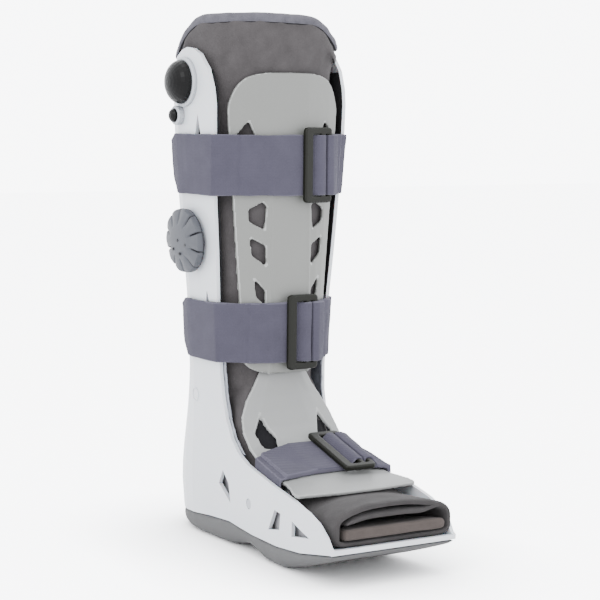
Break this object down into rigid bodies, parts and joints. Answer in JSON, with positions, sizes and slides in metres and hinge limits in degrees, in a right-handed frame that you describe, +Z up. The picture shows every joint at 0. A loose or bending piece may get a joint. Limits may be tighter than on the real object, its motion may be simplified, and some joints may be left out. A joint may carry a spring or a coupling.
{
  "type": "medical walking boot",
  "caption": "Tall ankle and foot walking boot: stiff shell with a rocker sole, padded open-toed liner, front panels, buckled straps, a pump bulb and a selector dial.",
  "frame": {"origin": "on the flat heel pad under the sole, below the leg", "axes": "+Z up along the leg, the toes point along -Y, +X is the left side as worn"},
  "size_m": [0.1517, 0.2895, 0.44],
  "materials": {
    "shell": "satin, pale cool grey",
    "sole": "matt",
    "panel": "satin grey",
    "liner": "brushed loop cloth over foam",
    "insole": "matt cloth over foam",
    "lining": "matt",
    "air_film": "glossy film",
    "plug": "satin",
    "strap": "woven",
    "buckle": "satin",
    "collar": "satin",
    "bulb": "smooth",
    "dial": "satin"
  },
  "bodies": {
    "boot": {"shell": "shell", "sole": "sole", "shin_panel": "panel", "instep_panel": "panel", "liner": "liner", "insole": "insole", "upright_lining_right": "lining", "upright_lining_left": "lining", "air_cell_right": "air_film", "air_cell_left": "air_film", "side_plug_right": "plug", "side_plug_left": "plug", "upper_strap": "strap", "upper_anchor_strap": "strap", "upper_buckle": "buckle", "lower_strap": "strap", "lower_anchor_strap": "strap", "lower_buckle": "buckle", "foot_strap": "strap", "foot_anchor_strap": "strap", "foot_buckle": "buckle", "bulb_collar": "collar", "pump_bulb": "bulb", "button_collar": "collar", "dial_seat": "dial"},
    "dial": {"selector_dial": "dial"},
    "button": {"release_button": "bulb"}
  },
  "joints": [
    {"name": "dial_turn", "type": "hinge", "parent": "boot", "child": "dial", "pos_m": [-0.06041, 0.014, 0.2535], "axis": [-0.9966, 0, -0.0826], "range_deg": [-90, 90]},
    {"name": "release_press", "type": "slide", "parent": "boot", "child": "button", "axis": [0.9997, 0, 0.0244], "range_m": [0, 0.002], "stiffness_N_per_m": 800, "springref_m": -0.001}
  ]
}
